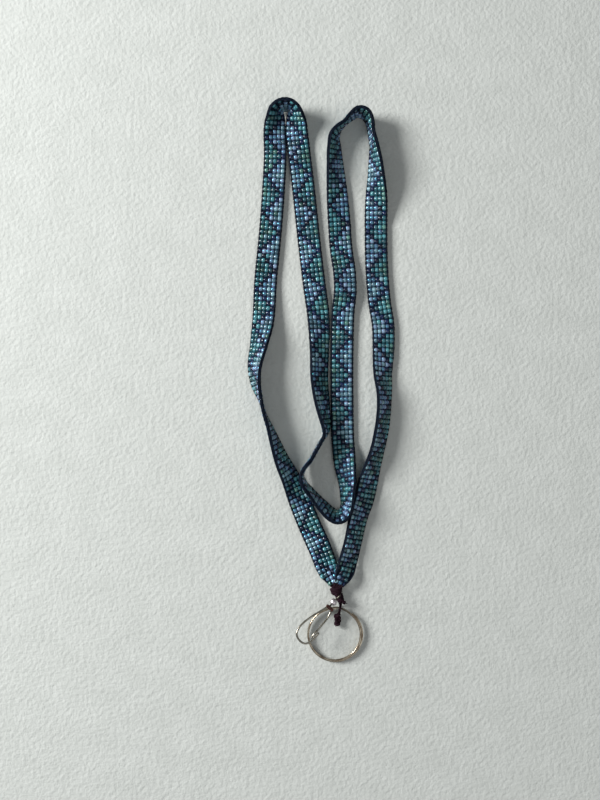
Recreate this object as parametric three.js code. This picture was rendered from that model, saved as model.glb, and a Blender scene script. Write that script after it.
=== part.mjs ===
// Bead-woven neck lanyard with a split key ring and a small bent-wire snap on a ball swivel.
// Millimetres, +Z up, lying flat: +Y runs from the ring towards the far folds of the strap.
import * as THREE from 'three';
import { mergeVertices } from 'three/addons/utils/BufferGeometryUtils.js';

const { degToRad, lerp, smoothstep } = THREE.MathUtils;
const UP = new THREE.Vector3(0, 0, 1);

// Strap: five beads wide, one bead thick.
const STRAP_WIDTH = 9.4;
const STRAP_THICK = 2.1;
const STRAP_STEP = 3.2; // length of strap between two cross-sections
const JOIN_GAP = 0.9; // clear gap between neighbouring sections

// Route of the strap's middle line: x, y, roll in degrees, lift of its lower edge, width factor.
// Roll 0 lies flat, 90 stands on edge; the half-twist in the left arm brings it from -180 to 0.
const ROUTE = [
  [6.3, -91.4, -180, 0.3, 0.42],
  [4.0, -86.8, -180, 0.2, 0.84],
  [0.1, -76.5, -180, 0.2, 1],
  [-5.6, -63.5, -176, 0.2, 1],
  [-9.4, -54.0, -164, 0.2, 1],
  [-12.9, -45.0, -146, 0.2, 1],
  [-17.2, -36.0, -126, 0.2, 1],
  [-20.6, -27.0, -109, 0.2, 1],
  [-23.0, -20.3, -97, 0.2, 1],
  [-25.2, -14.8, -90, 0.2, 1],
  [-26.8, -9.0, -84, 0.2, 1],
  [-28.7, -2.7, -70, 0.2, 1],
  [-29.4, 5.0, -56, 0.2, 1],
  [-27.4, 16.2, -38, 0.2, 1],
  [-25.9, 24.5, -18, 0.2, 1],
  [-24.6, 45.0, 0, 0.2, 1],
  [-22.6, 65.3, 0, 0.2, 1],
  [-21.1, 85.5, 0, 0.2, 1],
  [-20.3, 104.0, 4, 0.2, 1],
  [-20.6, 112.0, 18, 0.3, 1],
  [-20.3, 116.6, 33, 0.4, 1],
  [-19.8, 120.1, 57, 0.6, 1],
  [-18.0, 121.9, 68, 0.8, 1],
  [-15.7, 122.4, 70, 1.0, 1],
  [-13.4, 121.9, 70, 0.8, 1],
  [-11.7, 120.1, 62, 0.6, 1],
  [-10.9, 116.2, 30, 0.4, 1],
  [-10.7, 111.4, 12, 0.3, 1],
  [-9.7, 103.0, 0, 0.2, 1],
  [-7.6, 85.5, 0, 0.2, 1],
  [-5.2, 63.0, 0, 0.2, 1],
  [-2.8, 42.8, 0, 0.2, 1],
  [-0.9, 28.0, -12, 0.2, 1],
  [-0.5, 13.5, -33, 0.2, 1],
  [-0.5, 0.0, -42, 0.2, 1],
  [0.5, -9.0, -50, 0.2, 1],
  [1.6, -15.8, -62, 0.2, 1],
  [2.4, -20.3, -70, 0.2, 1],
  [2.1, -24.3, -83, 0.2, 1],
  [-0.2, -28.2, -90, 0.2, 1],
  [-2.3, -32.0, -90, 0.3, 1],
  [-4.7, -36.0, -90, 0.9, 1],
  [-7.5, -39.8, -88, 2.8, 1],
  [-8.6, -43.0, -84, 3.3, 1],
  [-7.4, -46.2, -80, 2.8, 1],
  [-4.6, -50.0, -76, 0.9, 1],
  [-1.9, -53.2, -71, 0.3, 1],
  [1.6, -57.0, -65, 0.2, 1],
  [4.4, -59.7, -62, 0.2, 1],
  [7.4, -61.2, -61, 0.2, 1],
  [10.2, -60.2, -62, 0.2, 1],
  [11.7, -57.2, -62, 0.2, 1],
  [12.0, -52.0, -56, 0.2, 1],
  [11.9, -45.0, -42, 0.2, 1],
  [11.1, -39.0, -24, 0.2, 1],
  [10.1, -28.0, 0, 0.2, 1],
  [9.7, -9.0, 0, 0.2, 1],
  [9.7, 13.5, 0, 0.2, 1],
  [10.2, 31.0, 0, 0.6, 1],
  [11.1, 40.5, 4, 1.6, 1],
  [10.8, 47.3, 4, 1.2, 1],
  [9.3, 58.5, 0, 0.3, 1],
  [8.3, 72.0, 6, 0.2, 1],
  [7.4, 84.0, 22, 0.2, 1],
  [6.6, 94.5, 42, 0.2, 1],
  [6.1, 103.5, 55, 0.2, 1],
  [6.3, 109.0, 68, 0.2, 1],
  [8.0, 112.0, 82, 0.2, 1],
  [10.6, 114.5, 90, 0.3, 1],
  [13.6, 117.3, 84, 0.5, 1],
  [16.9, 119.3, 77, 0.8, 1],
  [20.0, 118.4, 75, 0.6, 1],
  [21.9, 115.2, 79, 0.3, 1],
  [22.6, 110.6, 82, 0.2, 1],
  [23.6, 105.6, 78, 0.2, 1],
  [24.3, 99.0, 64, 0.2, 1],
  [24.8, 91.0, 48, 0.2, 1],
  [25.0, 82.0, 22, 0.2, 1],
  [24.9, 70.0, 0, 0.2, 1],
  [25.3, 49.5, 0, 0.2, 1],
  [26.5, 35.0, 0, 0.2, 1],
  [28.1, 24.5, -4, 0.2, 1],
  [28.2, 14.0, -12, 0.2, 1],
  [27.8, 3.0, -32, 0.2, 1],
  [28.4, -6.0, -48, 0.2, 1],
  [28.2, -14.0, -52, 0.2, 1],
  [27.1, -23.0, -51, 0.2, 1],
  [25.2, -31.5, -51, 0.2, 1],
  [23.0, -39.0, -42, 0.2, 1],
  [21.1, -46.0, -26, 0.2, 1],
  [19.6, -53.0, -26, 0.2, 1],
  [17.0, -61.0, -33, 0.2, 1],
  [14.2, -73.5, -37, 0.2, 1],
  [12.2, -81.0, -33, 0.5, 1],
  [10.4, -87.0, -18, 2.2, 0.84],
  [8.3, -91.4, -6, 2.9, 0.42],
];

// Sections of the strap, each from one route point to the next section's first.
const SECTIONS = [
  ['left_arm_foot', 0],
  ['left_arm_low', 3],
  ['left_arm_high', 5],
  ['left_twist', 7],
  ['left_bend', 11],
  ['leg_1_low', 14],
  ['leg_1_high', 16],
  ['left_fold_outer', 19],
  ['left_fold_inner', 23],
  ['leg_2_high', 27],
  ['leg_2_low', 30],
  ['leg_2_roll', 33],
  ['leg_2_edge', 38],
  ['corner', 42],
  ['lower_loop', 45],
  ['curl', 48],
  ['leg_3_foot', 51],
  ['leg_3_low', 55],
  ['leg_3_high', 58],
  ['leg_3_roll', 63],
  ['right_fold_rise', 67],
  ['right_fold_top', 69],
  ['right_fold_fall', 72],
  ['leg_4_high', 75],
  ['leg_4_low', 79],
  ['right_bend', 83],
  ['right_arm_high', 87],
  ['right_arm_low', 90],
  ['right_arm_foot', 93],
];

// Thread work: a wrapping round both strap ends, a thinner one below it, and its knot.
const END_WRAP = {
  line: [[6.9, -93.0, 2.9], [7.1, -94.4, 2.8], [7.4, -95.4, 2.5]],
  halfWidths: [2.5, 2.2],
  halfHeights: [2.45, 1.8],
};
const TAIL_WRAP = {
  line: [[8.1, -96.1, 1.55], [8.8, -98.1, 1.55], [9.3, -99.5, 1.55]],
  halfWidths: [2.0, 1.5],
  halfHeights: [1.3, 1.2],
};
const THREAD_TURN = 0.7; // along a wrapping, from one rib of thread to the next
const THREAD_RIB = 0.07;
const THREAD_RADIUS = 0.35;
const KNOT_CENTRE = [10.4, -99.4, 4.0];
const KNOT_RADIUS = 0.9;
const WRAP_SIDES = 12;

// Split ring: two turns of one wire, hanging in a sleeve of thread at the top of the ring.
const RING_RADIUS = 12.15; // to the middle of the wire
const RING_WIRE_RADIUS = 0.45;
const RING_PITCH = 1.2;
const RING_SPLAY = 0.9; // how far the second turn springs inwards
const RING_TILT = degToRad(2.6); // its far side rests on the surface
const RING_START = degToRad(52);
const RING_SWEEP = degToRad(686);
const RING_CROSSOVER = degToRad(36); // over which the wire climbs from one turn to the next
const RING_STEPS = 110;
const SLEEVE_CENTRE = [8.7, -102.5, 2.2];
const SLEEVE_ANGLE = degToRad(80); // where round the ring the thread holds it
const SLEEVE_BORE = 1.6;
const SLEEVE_OUTER = 2.2;
const SLEEVE_WIDTH = 1.4;
const TAIL_FROM = [7.9, -105.05, 1.7];
const TAIL_TO = [7.5, -109.95, 1.35];
const TAIL_NECK = 0.45; // radius between the two lobes of the tied-off thread
const TAIL_LOBE = 1.3;

// Snap: X across it, Y along it and Z out of its flat face, from the middle of the swivel ball.
const BALL_CENTRE = [5.7, -98.9, 5.8];
const SNAP_YAW = degToRad(226.9);
const SNAP_TILT = degToRad(10);
const BALL_RADIUS = 1.6;
const BALL_MOUTH = 0.75;
const BALL_SOCKET = 1.2;
const EYE_REACH = 3.15; // ball centre to eye centre
const EYE_RADIUS = 0.95;
const EYE_WIRE_RADIUS = 0.3;
const STEM_RADIUS = 0.4;
const STEM_HEAD = 0.85;
const STEM_LENGTH = 1.95;
const COLLAR_CENTRE = [-0.55, 3.0, 0];
const COLLAR_WIDTH = 4.0;
const COLLAR_LENGTH = 1.5;
const COLLAR_THICK = 1.3;
const SNAP_WIRE_RADIUS = 0.45;
const SNAP_ROUTE = [
  [0.9, 4.1], [1.9, 7.6], [3.2, 12.0], [3.95, 16.6], [3.6, 19.8], [2.2, 21.8],
  [-0.4, 22.5], [-2.7, 21.9], [-3.9, 20.0], [-4.35, 17.5], [-4.2, 14.6],
];
const GATE_ROUTE = [[-2.0, 4.1], [-2.7, 7.0], [-2.95, 11.0], [-3.0, 14.5], [-3.05, 17.8]];

const LOOKS = {
  band: { color: 0x2f5d76, roughness: 0.3, metalness: 0 },
  thread: { color: 0x241620, roughness: 0.8, metalness: 0 },
  nickel: { color: 0xc9c2b2, roughness: 0.28, metalness: 1 },
  steel: { color: 0xd8d6da, roughness: 0.18, metalness: 1 },
  copper: { color: 0x6b4438, roughness: 0.4, metalness: 0.9 },
};

// A named mesh in a parent group, from a geometry made into one closed body.
function addPiece(parent, name, geometry, look) {
  const mesh = new THREE.Mesh(closed(geometry), new THREE.MeshStandardMaterial(look));
  mesh.name = name;
  parent.add(mesh);
  return mesh;
}

// Positions only, with vertices at the same place merged and every face pointing out.
function closed(geometry) {
  const bare = geometry.index ? geometry.toNonIndexed() : geometry.clone();
  bare.deleteAttribute('normal');
  bare.deleteAttribute('uv');
  const solid = mergeVertices(bare, 1e-3);
  const faces = [];
  for (let i = 0; i < solid.index.count; i += 3) {
    const face = [0, 1, 2].map((k) => solid.index.getX(i + k));
    if (new Set(face).size === 3) faces.push(face);
  }
  const inward = signedVolume(solid.getAttribute('position'), faces) < 0;
  solid.setIndex(faces.flatMap(([a, b, c]) => (inward ? [a, c, b] : [a, b, c])));
  solid.computeVertexNormals();
  return solid;
}

function signedVolume(position, faces) {
  const corner = (i) => new THREE.Vector3().fromBufferAttribute(position, i);
  const wedge = ([a, b, c]) => corner(a).dot(corner(b).cross(corner(c))) / 6;
  return faces.reduce((total, face) => total + wedge(face), 0);
}

// A solid skinned over cross-sections, closed by a fan at each end.
function skin(sections) {
  const sides = sections[0].length;
  const last = (sections.length - 1) * sides;
  const index = [];
  for (let start = 0; start < last; start += sides) {
    for (let s = 0; s < sides; s += 1) {
      const next = (s + 1) % sides;
      index.push(start + s, start + next, start + sides + next);
      index.push(start + s, start + sides + next, start + sides + s);
    }
  }
  for (let s = 1; s < sides - 1; s += 1) {
    index.push(0, s + 1, s);
    index.push(last, last + s, last + s + 1);
  }
  const geometry = new THREE.BufferGeometry().setFromPoints(sections.flat());
  geometry.setIndex(index);
  return geometry;
}

// Points round an oval whose half-axes lie along two directions.
function oval(centre, side, up, wide, tall, sides) {
  return Array.from({ length: sides }, (_, k) => {
    const turn = (k / sides) * Math.PI * 2;
    return centre.clone()
      .addScaledVector(side, Math.cos(turn) * wide)
      .addScaledVector(up, Math.sin(turn) * tall);
  });
}

// A round bar along a curve, its radius given by a function of the way along.
function bar(curve, steps, radiusAt, sides = 8) {
  const sections = [];
  const side = UP.clone();
  for (let i = 0; i <= steps; i += 1) {
    const t = i / steps;
    const along = curve.getTangent(t);
    side.addScaledVector(along, -side.dot(along)).normalize();
    const other = along.clone().cross(side);
    sections.push(oval(curve.getPoint(t), side, other, radiusAt(t), radiusAt(t), sides));
  }
  return skin(sections);
}

function smoothWire(points, radius) {
  const curve = new THREE.CatmullRomCurve3(points);
  const steps = (points.length - 1) * 3;
  return bar(curve, steps, () => radius);
}

// Smooth curve through rows of numbers, spaced by the plan distance between them.
function rowAt(rows, place) {
  const i = Math.min(Math.floor(place), rows.length - 2);
  const t = place - i;
  const span = planDistance(rows[i], rows[i + 1]);
  return rows[i].map((value, n) => {
    const next = rows[i + 1][n];
    const leave = slopeAt(rows, i, n) * span;
    const arrive = slopeAt(rows, i + 1, n) * span;
    const rise = 3 * (next - value) - 2 * leave - arrive;
    const ease = 2 * (value - next) + leave + arrive;
    return value + t * (leave + t * (rise + t * ease));
  });
}

function slopeAt(rows, k, n) {
  const slope = (a, b) => (rows[b][n] - rows[a][n]) / planDistance(rows[a], rows[b]);
  if (k === 0) return slope(0, 1);
  if (k === rows.length - 1) return slope(k - 1, k);
  const near = planDistance(rows[k - 1], rows[k]);
  const far = planDistance(rows[k], rows[k + 1]);
  return (slope(k - 1, k) * far + slope(k, k + 1) * near) / (near + far);
}

function planDistance(a, b) {
  return Math.hypot(b[0] - a[0], b[1] - a[1]);
}

// Middle of the strap at a place along its route, raised so that its lower edge has its lift.
function strapMiddle(place) {
  const [x, y, roll, lift, factor] = rowAt(ROUTE, place);
  const tall = STRAP_WIDTH * factor * Math.abs(Math.sin(degToRad(roll)));
  const thick = STRAP_THICK * Math.abs(Math.cos(degToRad(roll)));
  return new THREE.Vector3(x, y, lift + (tall + thick) / 2);
}

// The strap's four corners at a place along its route.
function strapCorners(place) {
  const [, , roll, , factor] = rowAt(ROUTE, place);
  const reach = 0.02;
  const behind = strapMiddle(Math.max(place - reach, 0));
  const along = strapMiddle(Math.min(place + reach, ROUTE.length - 1)).sub(behind).normalize();
  const across = UP.clone().cross(along).normalize().applyAxisAngle(along, degToRad(roll));
  const face = along.clone().cross(across);
  const corner = ([a, f]) => strapMiddle(place)
    .addScaledVector(across, (a * STRAP_WIDTH * factor) / 2)
    .addScaledVector(face, (f * STRAP_THICK) / 2);
  return [[1, -1], [1, 1], [-1, 1], [-1, -1]].map(corner);
}

function strapDistance(from, to) {
  return strapMiddle(from).distanceTo(strapMiddle(to));
}

// A place on the route half a join gap beyond a section's end, towards the section's middle.
function insideEnd(end, sign) {
  const step = 0.05 * sign;
  return end + (step * JOIN_GAP) / 2 / strapDistance(end, end + step);
}

function strapSection(from, to) {
  const start = insideEnd(from, 1);
  const end = insideEnd(to, -1);
  let length = 0;
  for (let s = from; s < to; s += 1) length += strapDistance(s, s + 1);
  const steps = Math.max(3, Math.ceil(length / STRAP_STEP));
  return skin(Array.from({ length: steps + 1 }, (_, i) => strapCorners(lerp(start, end, i / steps))));
}

function strap() {
  const group = new THREE.Group();
  SECTIONS.forEach(([name, from], i) => {
    const to = SECTIONS[i + 1]?.[1] ?? ROUTE.length - 1;
    addPiece(group, `band_${name}`, strapSection(from, to), LOOKS.band);
  });
  return group;
}

// Thread wound round a core, ribbed by its turns.
function wrapping({ line, halfWidths, halfHeights }) {
  const curve = new THREE.CatmullRomCurve3(line.map((p) => new THREE.Vector3(...p)));
  const steps = 2 * Math.round(curve.getLength() / THREAD_TURN);
  return skin(Array.from({ length: steps + 1 }, (_, i) => {
    const along = curve.getTangent(i / steps);
    const side = UP.clone().cross(along).normalize();
    const rib = i % 2 === 0 ? -THREAD_RIB : THREAD_RIB;
    const wide = lerp(...halfWidths, i / steps) + rib;
    const tall = lerp(...halfHeights, i / steps) + rib;
    return oval(curve.getPoint(i / steps), side, along.clone().cross(side), wide, tall, WRAP_SIDES);
  }));
}

function threadWork() {
  const group = new THREE.Group();
  addPiece(group, 'end_wrap', wrapping(END_WRAP), LOOKS.thread);
  addPiece(group, 'tail_wrap', wrapping(TAIL_WRAP), LOOKS.thread);
  const knot = addPiece(group, 'wrap_knot', new THREE.SphereGeometry(KNOT_RADIUS, 10, 8), LOOKS.thread);
  knot.position.set(...KNOT_CENTRE);
  return group;
}

// Thread that leaves the end wrapping, passes through the swivel's eye and goes back down.
function swivelBail() {
  const drops = [[1.3, -0.5], [1.4, 0.1], [0.75, 0], [0, 0], [-0.75, 0], [-1.2, -0.4], [-1.2, -2.0]];
  return smoothWire(drops.map(([x, z]) => new THREE.Vector3(x, 0, z)), THREAD_RADIUS);
}

// Ball: a shell with a socket open at its far end, in which the stem's head turns.
function swivelBall() {
  const mouth = Math.sqrt(BALL_RADIUS ** 2 - BALL_MOUTH ** 2);
  const outside = new THREE.Path();
  outside.absarc(0, 0, BALL_RADIUS, -Math.PI / 2, Math.atan2(mouth, BALL_MOUTH), false);
  const socket = [[BALL_MOUTH, 0.85], [BALL_SOCKET, 0.6], [BALL_SOCKET, -0.45], [0, -0.6]];
  const profile = [...outside.getPoints(10), ...socket.map(([x, y]) => new THREE.Vector2(x, y))];
  profile[0].x = 0;
  return new THREE.LatheGeometry(profile, 20);
}

// Stem: a headed pin whose head is held in the ball.
function swivelStem() {
  const head = [[0, -0.1], [STEM_HEAD, 0], [STEM_HEAD, 0.4], [STEM_RADIUS, 0.55]];
  const profile = [...head, [STEM_RADIUS, STEM_LENGTH], [0, STEM_LENGTH]];
  return new THREE.LatheGeometry(profile.map(([x, y]) => new THREE.Vector2(x, y)), 12);
}

// Collar: a flat crimp with round ends.
function clipCollar() {
  const round = COLLAR_LENGTH / 2;
  const straight = COLLAR_WIDTH / 2 - round;
  const shape = new THREE.Shape();
  shape.absarc(straight, 0, round, -Math.PI / 2, Math.PI / 2, false);
  shape.absarc(-straight, 0, round, Math.PI / 2, Math.PI * 1.5, false);
  const settings = { depth: COLLAR_THICK, bevelEnabled: false, curveSegments: 5 };
  return new THREE.ExtrudeGeometry(shape, settings).translate(0, 0, -COLLAR_THICK / 2);
}

function snapWire(route) {
  return smoothWire(route.map(([x, y]) => new THREE.Vector3(x, y, 0)), SNAP_WIRE_RADIUS);
}

function snap() {
  const group = new THREE.Group();
  group.position.set(...BALL_CENTRE);
  group.rotation.set(SNAP_TILT, 0, SNAP_YAW - Math.PI / 2, 'ZYX');
  const eye = new THREE.TorusGeometry(EYE_RADIUS, EYE_WIRE_RADIUS, 8, 20).rotateY(Math.PI / 2);
  addPiece(group, 'swivel_eye', eye, LOOKS.steel).position.y = -EYE_REACH;
  addPiece(group, 'swivel_ball', swivelBall(), LOOKS.steel);
  addPiece(group, 'swivel_stem', swivelStem(), LOOKS.steel);
  addPiece(group, 'clip_collar', clipCollar(), LOOKS.copper).position.set(...COLLAR_CENTRE);
  addPiece(group, 'snap_wire', snapWire(SNAP_ROUTE), LOOKS.steel);
  addPiece(group, 'snap_gate', snapWire(GATE_ROUTE), LOOKS.steel);
  const bail = addPiece(group, 'swivel_bail', swivelBail(), LOOKS.thread);
  bail.position.y = -EYE_REACH;
  bail.rotation.x = -SNAP_TILT;
  return group;
}

// Split ring, in its own plane about its own centre.
function splitRing() {
  return skin(Array.from({ length: RING_STEPS + 1 }, (_, i) => {
    const turned = (RING_SWEEP * i) / RING_STEPS;
    const angle = RING_START - turned;
    const climb = smoothstep(turned, Math.PI * 2 - RING_CROSSOVER, Math.PI * 2);
    const inward = (climb * (1 + Math.cos(angle + RING_CROSSOVER))) / 2;
    const outward = new THREE.Vector3(Math.cos(angle), Math.sin(angle), 0);
    const centre = outward.clone().multiplyScalar(RING_RADIUS - RING_SPLAY * inward);
    centre.z = (climb - 0.5) * RING_PITCH;
    return oval(centre, outward, UP, RING_WIRE_RADIUS, RING_WIRE_RADIUS, 8);
  }));
}

// The ring, the sleeve of thread turns that holds it and the tied-off tail inside it.
function ringAndSleeve() {
  const group = new THREE.Group();
  const half = SLEEVE_WIDTH / 2;
  const wall = [[SLEEVE_BORE, -half], [SLEEVE_OUTER, -half], [SLEEVE_OUTER, half], [SLEEVE_BORE, half]];
  const profile = [...wall, wall[0]];
  const sleeve = new THREE.LatheGeometry(profile.map(([x, y]) => new THREE.Vector2(x, y)), 20);
  const loop = addPiece(group, 'ring_loop', sleeve, LOOKS.thread);
  loop.position.set(...SLEEVE_CENTRE);
  loop.rotation.z = SLEEVE_ANGLE - Math.PI;
  const ring = addPiece(group, 'split_ring', splitRing(), LOOKS.nickel);
  const seat = new THREE.Vector3(Math.cos(SLEEVE_ANGLE), Math.sin(SLEEVE_ANGLE), 0);
  seat.multiplyScalar(RING_RADIUS - RING_SPLAY / 4);
  ring.rotation.x = RING_TILT;
  ring.position.set(...SLEEVE_CENTRE).sub(seat.applyEuler(ring.rotation));
  const tailLine = new THREE.LineCurve3(new THREE.Vector3(...TAIL_FROM), new THREE.Vector3(...TAIL_TO));
  const lobes = (t) => lerp(TAIL_NECK, TAIL_LOBE, Math.abs(Math.sin(Math.PI * 2 * t)));
  addPiece(group, 'thread_tail', bar(tailLine, 12, lobes), LOOKS.thread);
  return group;
}

const lanyard = new THREE.Group();
lanyard.add(strap(), threadWork(), snap(), ringAndSleeve());

export default lanyard;
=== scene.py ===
"""Bead-woven neck lanyard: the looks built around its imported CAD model. Metres, +Z up."""
import math
import random

import bmesh
import bpy
import numpy as np
from mathutils import Matrix, Vector


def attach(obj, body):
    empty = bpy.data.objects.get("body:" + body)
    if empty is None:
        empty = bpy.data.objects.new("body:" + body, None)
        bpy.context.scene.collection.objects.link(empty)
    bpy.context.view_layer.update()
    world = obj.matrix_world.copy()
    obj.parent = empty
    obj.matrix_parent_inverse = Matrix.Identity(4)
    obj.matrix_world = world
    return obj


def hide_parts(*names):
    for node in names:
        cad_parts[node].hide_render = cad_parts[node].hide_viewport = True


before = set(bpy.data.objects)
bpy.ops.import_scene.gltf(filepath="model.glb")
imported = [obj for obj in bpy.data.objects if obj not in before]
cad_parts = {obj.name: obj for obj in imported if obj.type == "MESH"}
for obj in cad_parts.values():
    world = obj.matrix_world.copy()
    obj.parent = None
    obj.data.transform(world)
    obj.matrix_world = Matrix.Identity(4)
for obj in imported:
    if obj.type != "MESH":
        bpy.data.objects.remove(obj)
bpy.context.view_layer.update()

MM = 0.001
UP = Vector((0, 0, 1))

# Strap, as in the CAD model.
STRAP_WIDTH = 9.4 * MM
STRAP_THICK = 2.1 * MM

# Route of the strap's middle line: x, y in mm, roll in degrees, lift in mm, width factor.
ROUTE = [
    (6.3, -91.4, -180, 0.3, 0.42),
    (4.0, -86.8, -180, 0.2, 0.84),
    (0.1, -76.5, -180, 0.2, 1),
    (-5.6, -63.5, -176, 0.2, 1),
    (-9.4, -54.0, -164, 0.2, 1),
    (-12.9, -45.0, -146, 0.2, 1),
    (-17.2, -36.0, -126, 0.2, 1),
    (-20.6, -27.0, -109, 0.2, 1),
    (-23.0, -20.3, -97, 0.2, 1),
    (-25.2, -14.8, -90, 0.2, 1),
    (-26.8, -9.0, -84, 0.2, 1),
    (-28.7, -2.7, -70, 0.2, 1),
    (-29.4, 5.0, -56, 0.2, 1),
    (-27.4, 16.2, -38, 0.2, 1),
    (-25.9, 24.5, -18, 0.2, 1),
    (-24.6, 45.0, 0, 0.2, 1),
    (-22.6, 65.3, 0, 0.2, 1),
    (-21.1, 85.5, 0, 0.2, 1),
    (-20.3, 104.0, 4, 0.2, 1),
    (-20.6, 112.0, 18, 0.3, 1),
    (-20.3, 116.6, 33, 0.4, 1),
    (-19.8, 120.1, 57, 0.6, 1),
    (-18.0, 121.9, 68, 0.8, 1),
    (-15.7, 122.4, 70, 1.0, 1),
    (-13.4, 121.9, 70, 0.8, 1),
    (-11.7, 120.1, 62, 0.6, 1),
    (-10.9, 116.2, 30, 0.4, 1),
    (-10.7, 111.4, 12, 0.3, 1),
    (-9.7, 103.0, 0, 0.2, 1),
    (-7.6, 85.5, 0, 0.2, 1),
    (-5.2, 63.0, 0, 0.2, 1),
    (-2.8, 42.8, 0, 0.2, 1),
    (-0.9, 28.0, -12, 0.2, 1),
    (-0.5, 13.5, -33, 0.2, 1),
    (-0.5, 0.0, -42, 0.2, 1),
    (0.5, -9.0, -50, 0.2, 1),
    (1.6, -15.8, -62, 0.2, 1),
    (2.4, -20.3, -70, 0.2, 1),
    (2.1, -24.3, -83, 0.2, 1),
    (-0.2, -28.2, -90, 0.2, 1),
    (-2.3, -32.0, -90, 0.3, 1),
    (-4.7, -36.0, -90, 0.9, 1),
    (-7.5, -39.8, -88, 2.8, 1),
    (-8.6, -43.0, -84, 3.3, 1),
    (-7.4, -46.2, -80, 2.8, 1),
    (-4.6, -50.0, -76, 0.9, 1),
    (-1.9, -53.2, -71, 0.3, 1),
    (1.6, -57.0, -65, 0.2, 1),
    (4.4, -59.7, -62, 0.2, 1),
    (7.4, -61.2, -61, 0.2, 1),
    (10.2, -60.2, -62, 0.2, 1),
    (11.7, -57.2, -62, 0.2, 1),
    (12.0, -52.0, -56, 0.2, 1),
    (11.9, -45.0, -42, 0.2, 1),
    (11.1, -39.0, -24, 0.2, 1),
    (10.1, -28.0, 0, 0.2, 1),
    (9.7, -9.0, 0, 0.2, 1),
    (9.7, 13.5, 0, 0.2, 1),
    (10.2, 31.0, 0, 0.6, 1),
    (11.1, 40.5, 4, 1.6, 1),
    (10.8, 47.3, 4, 1.2, 1),
    (9.3, 58.5, 0, 0.3, 1),
    (8.3, 72.0, 6, 0.2, 1),
    (7.4, 84.0, 22, 0.2, 1),
    (6.6, 94.5, 42, 0.2, 1),
    (6.1, 103.5, 55, 0.2, 1),
    (6.3, 109.0, 68, 0.2, 1),
    (8.0, 112.0, 82, 0.2, 1),
    (10.6, 114.5, 90, 0.3, 1),
    (13.6, 117.3, 84, 0.5, 1),
    (16.9, 119.3, 77, 0.8, 1),
    (20.0, 118.4, 75, 0.6, 1),
    (21.9, 115.2, 79, 0.3, 1),
    (22.6, 110.6, 82, 0.2, 1),
    (23.6, 105.6, 78, 0.2, 1),
    (24.3, 99.0, 64, 0.2, 1),
    (24.8, 91.0, 48, 0.2, 1),
    (25.0, 82.0, 22, 0.2, 1),
    (24.9, 70.0, 0, 0.2, 1),
    (25.3, 49.5, 0, 0.2, 1),
    (26.5, 35.0, 0, 0.2, 1),
    (28.1, 24.5, -4, 0.2, 1),
    (28.2, 14.0, -12, 0.2, 1),
    (27.8, 3.0, -32, 0.2, 1),
    (28.4, -6.0, -48, 0.2, 1),
    (28.2, -14.0, -52, 0.2, 1),
    (27.1, -23.0, -51, 0.2, 1),
    (25.2, -31.5, -51, 0.2, 1),
    (23.0, -39.0, -42, 0.2, 1),
    (21.1, -46.0, -26, 0.2, 1),
    (19.6, -53.0, -26, 0.2, 1),
    (17.0, -61.0, -33, 0.2, 1),
    (14.2, -73.5, -37, 0.2, 1),
    (12.2, -81.0, -33, 0.5, 1),
    (10.4, -87.0, -18, 2.2, 0.84),
    (8.3, -91.4, -6, 2.9, 0.42),
]

# How far before and after a place its direction is looked for, in rows of ROUTE.
DIRECTION_REACH = 0.02
# Steps between two rows of ROUTE when distance along it is measured.
FINE_STEPS = 16

# Beads: rows lie across the strap, each bead's hole runs across it too.
COLUMNS = 5
ROW_PITCH = 2.13 * MM
COLUMN_PITCH = 1.83 * MM
BEAD_RADIUS = 1.06 * MM
BEAD_LENGTH = 1.68 * MM
HOLE_RADIUS = 0.4 * MM
BEAD_SIDES = 12
WARP_RADIUS = 0.17 * MM
WEFT_RADIUS = 0.2 * MM

CAMERA_PLACE = (-9.2 * MM, -9.0 * MM, 0.5)


def smooth_rows(rows, place):
    """One row of numbers at a place along the rows, on a smooth curve spaced by plan distance."""
    i = min(int(place), len(rows) - 2)
    t = place - i
    span = plan_distance(rows[i], rows[i + 1])
    leave = [slope * span for slope in slopes_at(rows, i)]
    arrive = [slope * span for slope in slopes_at(rows, i + 1)]
    row = []
    for p, q, u, v in zip(rows[i], rows[i + 1], leave, arrive):
        rise = 3 * (q - p) - 2 * u - v
        ease = 2 * (p - q) + u + v
        row.append(p + t * (u + t * (rise + t * ease)))
    return row


def slopes_at(rows, k):
    """Slope of each number at row k, the nearer neighbour counting for more."""
    if k == 0:
        return slopes_between(rows[0], rows[1])
    if k == len(rows) - 1:
        return slopes_between(rows[k - 1], rows[k])
    near = plan_distance(rows[k - 1], rows[k])
    far = plan_distance(rows[k], rows[k + 1])
    back = slopes_between(rows[k - 1], rows[k])
    ahead = slopes_between(rows[k], rows[k + 1])
    return [(b * far + a * near) / (near + far) for b, a in zip(back, ahead)]


def slopes_between(a, b):
    reach = plan_distance(a, b)
    return [(q - p) / reach for p, q in zip(a, b)]


def plan_distance(a, b):
    return math.hypot(b[0] - a[0], b[1] - a[1])


def strap_middle(place):
    x, y, roll, lift, factor = smooth_rows(ROUTE, place)
    tall = STRAP_WIDTH * factor * abs(math.sin(math.radians(roll)))
    thick = STRAP_THICK * abs(math.cos(math.radians(roll)))
    return Vector((x * MM, y * MM, lift * MM + (tall + thick) / 2))


def strap_frame(place):
    """Middle, along, across and face directions and width factor at a place on the route."""
    _, _, roll, _, factor = smooth_rows(ROUTE, place)
    behind = strap_middle(max(place - DIRECTION_REACH, 0))
    ahead = strap_middle(min(place + DIRECTION_REACH, len(ROUTE) - 1))
    along = (ahead - behind).normalized()
    left = UP.cross(along).normalized()
    up = along.cross(left)
    angle = math.radians(roll)
    across = left * math.cos(angle) + up * math.sin(angle)
    return strap_middle(place), along, across, along.cross(across), factor


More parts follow.
